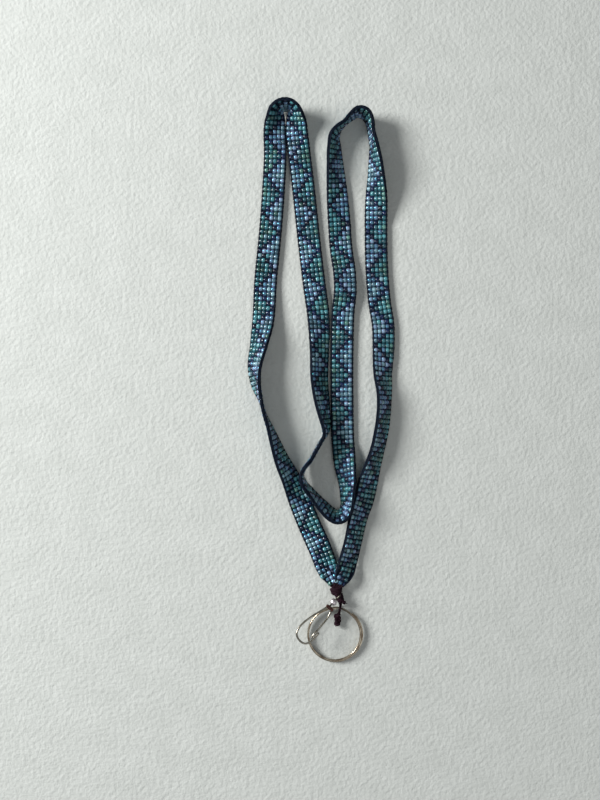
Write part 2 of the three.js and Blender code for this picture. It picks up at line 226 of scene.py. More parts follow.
def even_places(pitch):
    """Places on the route, evenly about one pitch apart, and the length of the strap's middle line."""
    fine = [k / FINE_STEPS for k in range(FINE_STEPS * (len(ROUTE) - 1) + 1)]
    points = [strap_middle(place) for place in fine]
    steps = [(b - a).length for a, b in zip(points, points[1:])]
    distance = np.concatenate([[0], np.cumsum(steps)])
    count = round(distance[-1] / pitch)
    wanted = (np.arange(count) + 0.5) * distance[-1] / count
    return list(np.interp(wanted, distance, fine)), float(distance[-1])


def make_camera():
    """Straight above the lanyard, as a person standing over the table sees it."""
    data = bpy.data.cameras.new("camera")
    data.lens = 50
    data.sensor_width = 36
    camera = bpy.data.objects.new("camera", data)
    camera.location = CAMERA_PLACE
    bpy.context.scene.collection.objects.link(camera)
    bpy.context.scene.camera = camera


# ---- Mesh helpers ------------------------------------------------------------------------------

# Angles at which a wire's rounded end is built up, in degrees from its last full ring.
TIP_ANGLES = (30, 55, 75)


def add_mesh(name, points, faces, material, slot, body, nodes=()):
    """A smooth-shaded piece that rides on a body and stands for the named CAD nodes."""
    mesh = bpy.data.meshes.new(name)
    mesh.from_pydata([tuple(p) for p in points], [], [tuple(f) for f in faces])
    mesh.validate()
    face_outwards(mesh)
    mesh.polygons.foreach_set("use_smooth", [True] * len(mesh.polygons))
    mesh.materials.append(material)
    piece = bpy.data.objects.new(name, mesh)
    bpy.context.scene.collection.objects.link(piece)
    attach(piece, body)
    if nodes:
        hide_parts(*nodes)
    return piece


def face_outwards(mesh):
    """Turn every face of each closed body outwards."""
    work = bmesh.new()
    work.from_mesh(mesh)
    bmesh.ops.recalc_face_normals(work, faces=work.faces)
    work.to_mesh(mesh)
    work.free()


def joined(parts):
    """One list of points and one of faces from several."""
    points, faces = [], []
    for part_points, part_faces in parts:
        start = len(points)
        points.extend(part_points)
        faces.extend([start + i for i in face] for face in part_faces)
    return points, faces


def loft(sections, closed=False):
    """Points and faces of a body skinned over equal rings of points, with flat ends unless closed."""
    sides = len(sections[0])
    points = [p for section in sections for p in section]
    faces = []
    for r in range(len(sections) if closed else len(sections) - 1):
        here, there = r * sides, (r + 1) % len(sections) * sides
        for s in range(sides):
            t = (s + 1) % sides
            faces.append([here + s, here + t, there + t, there + s])
    if not closed:
        last = (len(sections) - 1) * sides
        faces.append(list(range(sides))[::-1])
        faces.append([last + s for s in range(sides)])
    return points, faces


def ring_of_points(centre, side, up, wide, tall, sides, squareness=1.0):
    """Points round an oval, or a rounded rectangle where squareness is below 1."""
    points = []
    for s in range(sides):
        turn = math.tau * s / sides
        across = squared(math.cos(turn), squareness) * wide
        rise = squared(math.sin(turn), squareness) * tall
        points.append(centre + side * across + up * rise)
    return points


def squared(value, power):
    return math.copysign(abs(value) ** power, value)


def sweep(centres, radius, sides=8, closed=False, rounded_ends=False):
    """A round wire or thread along a list of points; radius is a number or a function of 0..1."""
    count = len(centres)
    side = None
    sections = []
    for i, centre in enumerate(centres):
        ahead = centres[(i + 1) % count] if closed else centres[min(i + 1, count - 1)]
        behind = centres[i - 1] if closed or i > 0 else centres[0]
        along = (ahead - behind).normalized()
        if side is None:
            side = along.orthogonal()
        side = (side - along * side.dot(along)).normalized()
        size = radius(i / (count - 1)) if callable(radius) else radius
        sections.append(ring_of_points(centre, side, along.cross(side), size, size, sides))
        if rounded_ends and i in (0, count - 1):
            tips = end_tips(centre, along if i else -along, side, along.cross(side), size, sides)
            sections[-1:] = sections[-1:] + tips if i else tips[::-1] + sections[-1:]
    return loft(sections, closed)


def end_tips(centre, outward, side, up, size, sides):
    """Rings that round off the end of a wire."""
    tips = []
    for angle in TIP_ANGLES:
        bend = math.radians(angle)
        middle = centre + outward * size * math.sin(bend)
        reach = size * math.cos(bend)
        tips.append(ring_of_points(middle, side, up, reach, reach, sides))
    return tips


def smooth_path(points, steps):
    """Catmull-Rom curve through points, with the given number of steps between two of them."""
    points = [Vector(p) for p in points]
    guides = [points[0] * 2 - points[1], *points, points[-1] * 2 - points[-2]]
    path = []
    for p0, p1, p2, p3 in zip(guides, guides[1:], guides[2:], guides[3:]):
        for k in range(steps):
            t = k / steps
            cubic = (-p0 + 3 * p1 - 3 * p2 + p3) * t**3
            square = (2 * p0 - 5 * p1 + 4 * p2 - p3) * t**2
            straight = (p2 - p0) * t
            path.append((cubic + square + straight) / 2 + p1)
    return [*path, points[-1]]


def lathe(profile, sides):
    """A body turned about the Y axis from (radius, height) points that start and end on it."""
    points, faces = [], []
    inner = profile[1:-1]
    for s in range(sides):
        turn = math.tau * s / sides
        points.extend(Vector((r * math.cos(turn), y, r * math.sin(turn))) for r, y in inner)
    for s in range(sides):
        here, there = s * len(inner), (s + 1) % sides * len(inner)
        for k in range(len(inner) - 1):
            faces.append([here + k, here + k + 1, there + k + 1, there + k])
    for (_, y), k in ((profile[0], 0), (profile[-1], len(inner) - 1)):
        points.append(Vector((0, y, 0)))
        for s in range(sides):
            pair = [s * len(inner) + k, (s + 1) % sides * len(inner) + k]
            faces.append([*(pair if k == 0 else pair[::-1]), len(points) - 1])
    return points, faces


# ---- Materials ---------------------------------------------------------------------------------

# Noise scales, in features per metre.
GLASS_CLOUDS = 900
GLASS_GLOSS = 2600
GLASS_PITS = 3500
THREAD_FIBRES = 2200
METAL_TARNISH = 260
METAL_MARKS = 1500
FLOOR_TINT = 90
FLOOR_GRAIN = 520


def new_material(name):
    material = bpy.data.materials.new(name)
    material.use_nodes = True
    tree = material.node_tree
    return material, tree, tree.nodes["Principled BSDF"]


def noise(tree, scale, detail, stretch=(1, 1, 1)):
    """Noise in the object's own space, in features per metre; returns its factor output."""
    place = tree.nodes.new("ShaderNodeTexCoord")
    mapping = tree.nodes.new("ShaderNodeMapping")
    mapping.inputs["Scale"].default_value = stretch
    texture = tree.nodes.new("ShaderNodeTexNoise")
    texture.inputs["Scale"].default_value = scale
    texture.inputs["Detail"].default_value = detail
    tree.links.new(place.outputs["Object"], mapping.inputs["Vector"])
    tree.links.new(mapping.outputs["Vector"], texture.inputs["Vector"])
    return texture.outputs["Fac"]


def ramp(tree, factor, stops):
    """Colour ramp over a factor, from (position, (r, g, b)) stops."""
    node = tree.nodes.new("ShaderNodeValToRGB")
    elements = node.color_ramp.elements
    while len(elements) < len(stops):
        elements.new(0.5)
    for element, (position, colour) in zip(elements, stops):
        element.position = position
        element.color = (*colour, 1)
    tree.links.new(factor, node.inputs["Fac"])
    return node.outputs["Color"]


def span(tree, factor, low, high):
    """A factor of 0..1 stretched to run from low to high."""
    node = tree.nodes.new("ShaderNodeMapRange")
    node.inputs["To Min"].default_value = low
    node.inputs["To Max"].default_value = high
    tree.links.new(factor, node.inputs["Value"])
    return node.outputs["Result"]


def mixed(tree, factor, colour, fixed):
    """A colour output turned towards one fixed colour by a factor."""
    node = tree.nodes.new("ShaderNodeMix")
    node.data_type = "RGBA"
    tree.links.new(factor, node.inputs["Factor"])
    tree.links.new(colour, node.inputs["A"])
    node.inputs["B"].default_value = (*fixed, 1)
    return node.outputs["Result"]


def bump(tree, shader, height, strength, distance):
    node = tree.nodes.new("ShaderNodeBump")
    node.inputs["Strength"].default_value = strength
    node.inputs["Distance"].default_value = distance
    tree.links.new(height, node.inputs["Height"])
    tree.links.new(node.outputs["Normal"], shader.inputs["Normal"])


def bead_glass(name, deep, plain, pale, film, coat):
    """Coated glass: each bead's own shade between deep and pale, with faint clouds and pits."""
    material, tree, shader = new_material(name)
    own = tree.nodes.new("ShaderNodeAttribute")
    own.attribute_name = "bead_shade"
    shade = ramp(tree, own.outputs["Fac"], [(0.0, deep), (0.45, plain), (1.0, pale)])
    clouds = span(tree, noise(tree, GLASS_CLOUDS, 3), 0.0, 0.45)
    tree.links.new(mixed(tree, clouds, shade, deep), shader.inputs["Base Color"])
    tree.links.new(span(tree, noise(tree, GLASS_GLOSS, 2), 0.1, 0.3), shader.inputs["Roughness"])
    bump(tree, shader, noise(tree, GLASS_PITS, 2), strength=0.25, distance=0.03 * MM)
    shader.inputs["IOR"].default_value = 1.55
    shader.inputs["Coat Weight"].default_value = coat
    shader.inputs["Coat Roughness"].default_value = 0.08
    shader.inputs["Thin Film Thickness"].default_value = film
    shader.inputs["Thin Film IOR"].default_value = 1.9
    return material


def thread_fabric(name, dark, light):
    """Waxed thread with a fine uneven fibre texture; its colour follows the bump, with painted shade dark
    in the hollows and painted light on the tops.
    """
    material, tree, shader = new_material(name)
    fibre_tone_and_shade = noise(tree, THREAD_FIBRES, 6)
    # Painted shade and light: the noise that bumps the fibre also darkens the colour in its hollows and
    # lightens it on its tops.
    tree.links.new(ramp(tree, fibre_tone_and_shade, [(0.3, dark), (0.75, light)]), shader.inputs["Base Color"])
    tree.links.new(span(tree, fibre_tone_and_shade, 0.55, 0.85), shader.inputs["Roughness"])
    bump(tree, shader, fibre_tone_and_shade, strength=0.5, distance=0.08 * MM)
    shader.inputs["Specular IOR Level"].default_value = 0.12
    return material


def worn_metal(name, bright, dull, smooth, rough):
    """Plated metal with tarnish in patches and fine handling marks."""
    material, tree, shader = new_material(name)
    shader.inputs["Metallic"].default_value = 1
    patches = noise(tree, METAL_TARNISH, 5)
    tree.links.new(ramp(tree, patches, [(0.35, bright), (0.7, dull)]), shader.inputs["Base Color"])
    tree.links.new(span(tree, patches, smooth, rough), shader.inputs["Roughness"])
    marks = noise(tree, METAL_MARKS, 8, stretch=(1, 6, 1))
    bump(tree, shader, marks, strength=0.15, distance=0.03 * MM)
    return material


# ---- Strap -------------------------------------------------------------------------------------

# Navy zigzag: its period and start in rows, and the row from which it is half a period on.
NAVY_PERIOD = 8
NAVY_SHIFT = 3
SLIP_ROW = 280
SLIP_SHIFT = 4
# Share of beads in a random colour, and of lilac and teal among those further from the zigzag.
STRAY_SHARE = 0.12
FAR_LILAC_SHARE = 0.35
FAR_TEAL_SHARE = 0.4
# Glass of each colour: deep, plain and pale shade, thin film in nanometres, and coat.
GLASS = {
    "navy": ((0.001, 0.004, 0.016), (0.002, 0.009, 0.038), (0.006, 0.020, 0.080), 0, 0.15),
    "lilac": ((0.040, 0.070, 0.135), (0.100, 0.165, 0.280), (0.30, 0.37, 0.54), 330, 0.8),
    "sky": ((0.036, 0.085, 0.120), (0.095, 0.205, 0.270), (0.26, 0.45, 0.52), 0, 0.8),
    "teal": ((0.010, 0.052, 0.070), (0.026, 0.135, 0.170), (0.09, 0.32, 0.36), 0, 0.8),
    "green": ((0.014, 0.052, 0.050), (0.038, 0.130, 0.115), (0.12, 0.30, 0.26), 0, 0.8),
}
BEAD_RINGS = 8
BEAD_SQUARENESS = 0.72
# Unevenness of hand work: a bead's turns in radians, its size and its place.
YAW_SPREAD = 0.05
ROLL_SPREAD = 0.04
SIZE_SPREAD = 0.025
PLACE_SPREAD = 0.05 * MM
# Rows narrower than this width factor have no bead in their outer columns.
FULL_ROW_FACTOR = 0.78
# A row that would be cupped less than this half arc, in radians, lies flat.
FLAT_ARC = 0.02
EDGE_WARP_AT = 4.55 * MM
EDGE_WARP_SPREAD = 0.52 * MM
EDGE_WARP_RADIUS = 0.3 * MM
CORE_HALF_WIDTH = 4.55 * MM
CORE_HALF_THICK = 0.33 * MM
# The weft's turn round an edge: where it leaves the beads, how far out it goes, and its swing.
TURN_START = 4.3 * MM
TURN_REACH = 4.95 * MM
TURN_SWING = 0.22 * MM


def navy_column(row):
    """The navy bead steps across the strap and back, one column a row, with one slip of half a period."""
    shift = NAVY_SHIFT if row < SLIP_ROW else NAVY_SHIFT + SLIP_SHIFT
    step = (row + shift) % NAVY_PERIOD
    return step if step < COLUMNS else NAVY_PERIOD - step


def bead_colour(row, column, dice):
    """Navy zigzag, lilac and sky beads on one side of it, teal and green on the other, and strays."""
    away = column - navy_column(row)
    if away == 0:
        return "navy"
    if dice.random() < STRAY_SHARE:
        return dice.choice(("lilac", "sky", "teal", "green"))
    if away < 0:
        return "lilac" if away > -2 or dice.random() < FAR_LILAC_SHARE else "sky"
    return "teal" if away < 3 or dice.random() < FAR_TEAL_SHARE else "green"


def cupped(offset, half_arc, width):
    """Where a column sits when the strap is cupped: its place across, its drop and its turn."""
    if half_arc < FLAT_ARC:
        return offset, 0.0, 0.0
    radius = width / 2 / half_arc
    turn = offset / radius
    return radius * math.sin(turn), radius * (1 - math.cos(turn)), turn


def bead_shape():
    """Points and faces of one bead with its hole along X."""
    middle = (BEAD_RADIUS + HOLE_RADIUS) / 2
    half_wall = (BEAD_RADIUS - HOLE_RADIUS) / 2
    sideways = Vector((-1, 0, 0))
    oval = (BEAD_LENGTH / 2, half_wall, BEAD_RINGS, BEAD_SQUARENESS)
    sections = []
    for i in range(BEAD_SIDES):
        turn = math.tau * i / BEAD_SIDES
        outward = Vector((0, math.cos(turn), math.sin(turn)))
        sections.append(ring_of_points(outward * middle, sideways, outward, *oval))
    return loft(sections, closed=True)


def bead_places(places):
    """Placement and shade of every bead, by colour, with the small unevenness of hand work."""
    dice = random.Random(7)
    beads = {colour: [] for colour in GLASS}
    for row, place in enumerate(places):
        centre, along, across, face, factor = strap_frame(place)
        columns = range(COLUMNS) if factor > FULL_ROW_FACTOR else range(1, COLUMNS - 1)
        narrowing = min(1.0, factor * COLUMNS / len(columns))
        half_arc = math.sqrt(6 * (1 - narrowing))
        for column in columns:
            offset = (column - (COLUMNS - 1) / 2) * COLUMN_PITCH
            sideways, drop, turn = cupped(offset, half_arc, len(columns) * COLUMN_PITCH)
            tilt = Matrix.Rotation(turn, 3, along)
            hole, normal = tilt @ across, tilt @ face
            yaw, roll = dice.gauss(0, YAW_SPREAD), dice.gauss(0, ROLL_SPREAD)
            wobble = Matrix.Rotation(yaw, 3, face) @ Matrix.Rotation(roll, 3, along)
            size = dice.gauss(1, SIZE_SPREAD)
            turned = Matrix.Rotation(dice.random() * math.tau, 3, "X")
            basis = wobble @ Matrix((hole, along, normal)).transposed() @ turned * size
            nudge = along * dice.gauss(0, PLACE_SPREAD) + face * dice.gauss(0, PLACE_SPREAD)
            spot = centre + across * sideways - face * drop + nudge
            placed = (np.array(basis), np.array(spot), dice.random())
            beads[bead_colour(row, column, dice)].append(placed)
    return beads


def make_beads(beads, bands):
    """One piece for each bead colour. The teal beads stand for the CAD bands, as the core does."""
    shape_points, shape_faces = bead_shape()
    shape = np.array([tuple(p) for p in shape_points])
    quads = np.array(shape_faces)
    pieces = []
    for colour, placed in beads.items():
        points = np.concatenate([shape @ basis.T + spot for basis, spot, _ in placed])
        starts = np.arange(len(placed)) * len(shape)
        faces = (quads[None] + starts[:, None, None]).reshape(-1, 4)
        glass = bead_glass(f"glass_{colour}", *GLASS[colour])
        nodes = bands if colour == "teal" else ()
        mesh = (points.tolist(), faces.tolist())
        piece = add_mesh(f"beads_{colour}", *mesh, glass, "bead_glass", "strap", nodes)
        shades = np.repeat([shade for _, _, shade in placed], len(shape))
        attribute = piece.data.attributes.new("bead_shade", "FLOAT", "POINT")
        attribute.data.foreach_set("value", shades.astype(np.float32))
        pieces.append(piece)
    return pieces


def strap_line(places, offset, level=0.0):
    """Points along the strap at a distance across it and above its middle."""
    line = []
    for place in places:
        centre, _, across, face, factor = strap_frame(place)
        line.append(centre + across * offset * factor + face * level)
    return line


def warp_threads(material):
    """Four threads between the columns and a stack of three along each edge."""
    places, _ = even_places(ROW_PITCH / 2)
    inner = [(k - (COLUMNS - 2) / 2) * COLUMN_PITCH for k in range(COLUMNS - 1)]
    parts = [sweep(strap_line(places, offset), WARP_RADIUS, sides=5) for offset in inner]
    for sign in (-1, 1):
        for level in (-1, 0, 1):
            line = strap_line(places, sign * EDGE_WARP_AT, level * EDGE_WARP_SPREAD)
            parts.append(sweep(line, EDGE_WARP_RADIUS, sides=6))
    return add_mesh("warp_threads", *joined(parts), material, "thread", "strap")


def woven_core(material):
    """The weave of warp and weft that the beads sit in: a thin dark ribbon through their middles."""
    places, _ = even_places(ROW_PITCH / 2)
    sections = []
    for place in places:
        centre, _, across, face, factor = strap_frame(place)
        half_width = CORE_HALF_WIDTH * factor
        section = ring_of_points(
            centre, across, face, half_width, CORE_HALF_THICK, sides=12, squareness=0.5
        )
        sections.append(section)
    return add_mesh("woven_core", *loft(sections), material, "thread", "strap")


def edge_turns(places, material):
    """The weft's turn round the edge from each row to the next, on both sides."""
    parts = []
    for row in range(len(places) - 1):
        first, second = strap_frame(places[row]), strap_frame(places[row + 1])
        sign = 1 if row % 2 else -1
        for side in (-1, 1):
            start, end = (edge_point(part, side, TURN_START) for part in (first, second))
            outer = [edge_point(part, side, TURN_REACH) for part in (first, second)]
            swing = first[3] * sign * side * TURN_SWING
            middle = outer[0].lerp(outer[1], 0.5) + swing
            near, far = (outer[0].lerp(outer[1], share) for share in (0.15, 0.85))
            path = smooth_path([start, near, middle, far, end], 2)
            parts.append(sweep(path, WEFT_RADIUS, sides=5))
    return add_mesh("weft_turns", *joined(parts), material, "thread", "strap")


def edge_point(part, side, reach):
    """A point beside the strap, from its frame at one place."""
    centre, _, across, _, factor = part
    return centre + across * side * reach * factor


def make_strap(thread):
    places, length = even_places(ROW_PITCH)
    bands = sorted(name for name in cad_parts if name.startswith("band_"))
    core = woven_core(thread)
    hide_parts(*bands)
    warps = warp_threads(thread)
    beads = make_beads(bead_places(places), bands)
    turns = edge_turns(places, thread)


# ---- Thread work at the ends --------------------------------------------------------------------

# Middle lines of the wrappings, and their half width and height at either end, all in mm.
END_WRAP_LINE = ((6.9, -93.0, 2.9), (7.1, -94.4, 2.8), (7.4, -95.4, 2.5))
END_WRAP_HALF = ((2.9, 2.6), (2.5, 2.0))
TAIL_WRAP_LINE = ((8.1, -96.1, 1.55), (8.8, -98.1, 1.55), (9.3, -99.5, 1.55))
TAIL_WRAP_HALF = ((2.0, 1.3), (1.5, 1.2))
WRAP_THREAD = 0.27 * MM
WRAP_PITCH = 0.5 * MM
WRAP_CORE_SHARE = 0.86
WRAP_WANDER = 0.02
TURN_STEPS = 26
# Warp ends that each foot of the strap gathers into the wrapping.
GATHERED = 9
GATHERED_RADIUS = 0.26 * MM
FOOT_INSET = 0.02
FOOT_SPREAD = 2.3 * MM
FOOT_STAGGER = 0.5 * MM
NECK_SPREAD = 1.5 * MM
NECK_RISE = 0.6
KNOT_STEPS = 72
KNOT_DEPTH = 1.6
KNOT_CENTRE = Vector((10.4, -99.4, 4.0)) * MM
SLEEVE_CENTRE = Vector((8.7, -102.5, 2.2)) * MM
SLEEVE_ANGLE = math.radians(80)
SLEEVE_RADIUS = 1.92 * MM
SLEEVE_WIDTH = 1.4 * MM
SLEEVE_TURNS = 2
TAIL_UPPER = Vector((7.75, -106.1, 1.65)) * MM
TAIL_LOWER = Vector((7.6, -108.6, 1.5)) * MM


def in_metres(points):
    return [Vector(p) * MM for p in points]


def wound_thread(line, halves, turns_over=0):
    """Thread wound along a line round an oval that tapers from one half-size to another."""
    centres = smooth_path(in_metres(line), 40)
    length = sum((b - a).length for a, b in zip(centres, centres[1:]))
    steps = round(length / WRAP_PITCH) * TURN_STEPS
    path = []
    for k in range(steps + 1):
        t = k / steps
        at = t * (len(centres) - 1)
        i = min(int(at), len(centres) - 2)
        centre = centres[i].lerp(centres[i + 1], at - i)
        along = (centres[i + 1] - centres[i]).normalized()
        side = UP.cross(along).normalized()
        wide, tall = ((a + (b - a) * t) * MM - WRAP_THREAD for a, b in zip(*halves))
        turn = math.tau * (k / TURN_STEPS + turns_over)
        wander = 1 + WRAP_WANDER * math.sin(turn * 0.37)
        sideways = side * math.cos(turn) * wide
        upwards = along.cross(side) * math.sin(turn) * tall
        path.append(centre + (sideways + upwards) * wander)
    return sweep(path, WRAP_THREAD, sides=7, rounded_ends=True)


def wrap_core(line, halves):
    """The bundle of warp ends inside a wrapping, showing at its two ends."""
    centres = smooth_path(in_metres(line), 6)
    sections = []
    for k, centre in enumerate(centres):
        t = k / (len(centres) - 1)
        along = (centres[min(k + 1, len(centres) - 1)] - centres[max(k - 1, 0)]).normalized()
        side = UP.cross(along).normalized()
        wide, tall = ((a + (b - a) * t) * MM * WRAP_CORE_SHARE for a, b in zip(*halves))
        sections.append(ring_of_points(centre, side, along.cross(side), wide, tall, sides=16))
    return loft(sections)


def knot_loop(centre, size, radius, turned):
    """One overhand knot of thread, drawn tight."""
    path = []
    for k in range(KNOT_STEPS):
        t = math.tau * k / KNOT_STEPS
        across = math.sin(t) + 2 * math.sin(2 * t)
        along = math.cos(t) - 2 * math.cos(2 * t)
        over = -KNOT_DEPTH * math.sin(3 * t)
        path.append(centre + turned @ Vector((across, along, over)) * (size / 3))
    return sweep(path, radius, closed=True)


def cut_ends(start, direction, count, length, radius, seed):
    """Short cut ends of thread that spread from a knot."""
    dice = random.Random(seed)
    parts = []
    for _ in range(count):
        spread = Vector((dice.gauss(0, 0.35), dice.gauss(0, 0.35), dice.gauss(0, 0.25)))
        tip = start + (direction + spread) * length * dice.uniform(0.7, 1.1)
        middle = start.lerp(tip, 0.5) + Vector((0, 0, 0.15 * MM))
        path = smooth_path([start, middle, tip], 5)
        parts.append(sweep(path, radius, sides=6, rounded_ends=True))
    return parts


def make_end_wraps(thread):
    """Wrapping round both strap ends, the thinner one below it and the knot beside it."""
    end_wrap = [
        wrap_core(END_WRAP_LINE, END_WRAP_HALF),
        wound_thread(END_WRAP_LINE, END_WRAP_HALF),
        *gathered_warps(),
    ]
    add_mesh("end_binding", *joined(end_wrap), thread, "thread", "strap", ["end_wrap"])
    tail = [
        wrap_core(TAIL_WRAP_LINE, TAIL_WRAP_HALF),
        wound_thread(TAIL_WRAP_LINE, TAIL_WRAP_HALF, turns_over=0.3),
        *strands_between(END_WRAP_LINE[-1], TAIL_WRAP_LINE[0], 7, 1.35 * MM, 1.0 * MM),
    ]
    add_mesh("tail_binding", *joined(tail), thread, "thread", "strap", ["tail_wrap"])
    tilt = Matrix.Rotation(0.7, 3, "X") @ Matrix.Rotation(0.4, 3, "Y")
    lead_in = [*in_metres([(9.6, -98.6, 2.6), (10.3, -98.8, 3.3)]), KNOT_CENTRE]
    knot = [
        knot_loop(KNOT_CENTRE, 0.72 * MM, 0.3 * MM, tilt),
        sweep(smooth_path(lead_in, 6), WRAP_THREAD, sides=7),
        *cut_ends(
            KNOT_CENTRE, Vector((0.6, -0.4, -0.2)), count=3, length=1.5 * MM, radius=0.14 * MM, seed=3
        ),
    ]
    add_mesh("binding_knot", *joined(knot), thread, "thread", "strap", ["wrap_knot"])


def gathered_warps():
    """Warp ends that leave both feet of the strap and draw together into the wrapping."""
    parts = []
    top = Vector(END_WRAP_LINE[0]) * MM
    half = (GATHERED - 1) / 2
    for place in (FOOT_INSET, len(ROUTE) - 1 - FOOT_INSET):
        centre, _, across, face, _ = strap_frame(place)
        for k in range(GATHERED):
            offset = (k - half) / half
            foot = centre + across * offset * FOOT_SPREAD + face * (k % 2 - 0.5) * FOOT_STAGGER
            neck = top + Vector((offset * NECK_SPREAD, 0, (centre.z - top.z) * NECK_RISE))
            path = smooth_path([foot, foot.lerp(neck, 0.5), neck], 4)
            parts.append(sweep(path, GATHERED_RADIUS, sides=6))
    return parts


def strands_between(start, end, count, start_half, end_half):
    """A fan of threads that runs from one bundle to the next."""
    parts = []
    for k in range(count):
        turn = math.tau * k / count
        spread = Vector((math.cos(turn), 0, math.sin(turn)))
        first, last = Vector(start) * MM, Vector(end) * MM
        halfway = first.lerp(last, 0.5) + spread * end_half
        path = [first + spread * start_half, halfway, last + spread * end_half]
        parts.append(sweep(smooth_path(path, 5), WRAP_THREAD, sides=6))
    return parts


def make_lashing(thread, tangent):
    """Turns of thread round the ring's wire."""
    side = UP.cross(tangent)
    steps = SLEEVE_TURNS * TURN_STEPS
    path = []
    for k in range(steps + 1):
        turn = math.tau * k / TURN_STEPS
        shift = (k / steps - 0.5) * (SLEEVE_WIDTH - 2 * WRAP_THREAD)
        spot = side * math.cos(turn) + UP * math.sin(turn)
        path.append(SLEEVE_CENTRE + tangent * shift + spot * SLEEVE_RADIUS)
    sleeve = sweep(path, WRAP_THREAD * 1.1, rounded_ends=True)
    add_mesh("ring_lashing", *sleeve, thread, "thread", "ring_sling", ["ring_loop"])


def make_knotted_tail(thread):
    """The tail of thread inside the ring: two knotted lobes, the neck to them and cut ends."""
    parts = []
    for k, (centre, size) in enumerate(((TAIL_UPPER, 1.25 * MM), (TAIL_LOWER, 1.35 * MM))):
        turned = Matrix.Rotation(0.5 + 1.3 * k, 3, "Z") @ Matrix.Rotation(0.6, 3, "X")
        parts.append(knot_loop(centre, size, 0.58 * MM, turned))
        parts.append(knot_loop(centre, size * 0.55, 0.55 * MM, turned @ Matrix.Rotation(1.0, 3, "Z")))
    neck = [*in_metres([(8.1, -104.2, 1.6), (7.9, -105.0, 1.7)]), TAIL_UPPER, TAIL_LOWER]
    parts.append(sweep(smooth_path(neck, 6), 0.4 * MM))
    down = Vector((-0.1, -0.9, -0.1))
    parts.extend(cut_ends(TAIL_LOWER, down, count=4, length=1.6 * MM, radius=0.13 * MM, seed=5))
    add_mesh("knotted_tail", *joined(parts), thread, "thread", "ring_sling", ["thread_tail"])


def make_sling(thread):
    """The lashing on the ring, the knotted tail inside it and the threads that lead to the ring."""
    tangent = Vector((math.sin(SLEEVE_ANGLE), -math.cos(SLEEVE_ANGLE), 0))
    make_lashing(thread, tangent)
    make_knotted_tail(thread)
    leads = []
    for offset in (-0.5, 0.0, 0.5):
        start = Vector(TAIL_WRAP_LINE[-1]) * MM + tangent * offset * MM
        end = SLEEVE_CENTRE + tangent * offset * MM + Vector((0, 2.0 * MM, 0.3 * MM))
        halfway = start.lerp(end, 0.5) + UP * 0.2 * MM
        leads.append(sweep(smooth_path([start, halfway, end], 5), WRAP_THREAD, sides=7))
    add_mesh("sling_leads", *joined(leads), thread, "thread", "strap")


# ---- Metalwork ----------------------------------------------------------------------------------

BALL_CENTRE = Vector((5.7, -98.9, 5.8)) * MM
# Plan heading of the snap's length, and how far it leans up, both in degrees.
SNAP_HEADING = 226.9
SNAP_LEAN = 10
SNAP_TURN = (
    Matrix.Rotation(math.radians(SNAP_HEADING - 90), 3, "Z")
    @ Matrix.Rotation(math.radians(SNAP_LEAN), 3, "X")
)
BALL_RADIUS = 1.6 * MM
# The ball's outside runs over this arc, from the eye's end, in this many steps.
BALL_ARC = 152
BALL_STEPS = 21
EYE_REACH = 3.15 * MM
EYE_RADIUS = 0.95 * MM
EYE_WIRE = 0.3 * MM
EYE_STEPS = 40
BAIL_WIRE = 0.22 * MM
BAIL_SHIFT = 0.22 * MM
# Turned profiles, each as (radius, place along the snap) in mm.
SHANK = ((0, -2.35), (0.42, -2.3), (0.45, -1.95), (0.62, -1.6), (0.7, -1.42), (0, -1.40))
BALL_INSIDE = ((0.74, 1.32), (0.78, 0.9), (1.15, 0.62), (1.2, 0.1), (1.1, -0.4), (0, -0.6))
PIN = ((0, -0.1), (0.7, -0.05), (0.85, 0.1), (0.85, 0.36), (0.5, 0.5), (0.4, 0.6), (0.4, 2.5), (0, 2.6))
# The bail from the wrapping through the eye: its start, then (across, up) from the eye's centre.
BAIL_START = Vector((6.9, -94.9, 3.9)) * MM
BAIL_DROPS = (
    (1.3, -0.3),
    (0.75, 0.0),
    (0, 0.05),
    (-0.75, 0.0),
    (-1.15, -0.5),
    (-1.0, -1.4),
    (-0.6, -2.6),
)
SNAP_WIRE = 0.45 * MM
# The hook wire's line, and below it the gate wire's, as (across, along) in mm.
SNAP_ROUTE = (
    (0.9, 3.1),
    (0.9, 4.1),
    (1.9, 7.6),
    (3.2, 12.0),
    (3.95, 16.6),
    (3.6, 19.8),
    (2.2, 21.8),
    (-0.4, 22.5),
    (-2.7, 21.9),
    (-3.9, 20.0),
    (-4.35, 17.5),
    (-4.2, 14.6),
)
# The gate wire against the snap's: its share of the radius, and the bulge near its tip.
GATE_SHARE = 0.92
BULGE = 0.38
BULGE_AT = 0.82
BULGE_WIDTH = 0.1
GATE_ROUTE = ((-2.0, 4.1), (-2.7, 7.0), (-2.95, 11.0), (-3.0, 14.5), (-3.05, 17.8))
COLLAR_CENTRE = Vector((-0.55, 3.0, 0)) * MM
COLLAR_HALF = Vector((2.0, 0.75, 0.66)) * MM
COLLAR_STEPS = 32
COLLAR_END = 0.25
PINCH_DEPTH = 0.32
PINCH_WIDTH = 0.16
RING_RADIUS = 12.15 * MM
RING_WIRE = 0.45 * MM
# The ring's wire is a little taller than wide, and thinner over its last steps at each end.
RING_TALLNESS = 1.12
RING_END = 0.62
RING_END_STEPS = 6
RING_PITCH = 1.2 * MM
RING_SPLAY = 0.9 * MM
RING_TILT = math.radians(2.6)
RING_START = math.radians(52)
RING_SWEEP = math.radians(686)
RING_CROSSOVER = math.radians(36)
RING_STEPS = 420


def on_snap(point):
    """A point of the snap, X across it, Y along it and Z out of its flat face, in the row frame."""
    return BALL_CENTRE + SNAP_TURN @ Vector(point)


def moved_to_snap(shape):
    points, faces = shape
    return [on_snap(p) for p in points], faces


def lathe_mm(profile, sides):
    """A turned body from a profile in mm."""
    return lathe([(r * MM, y * MM) for r, y in profile], sides)


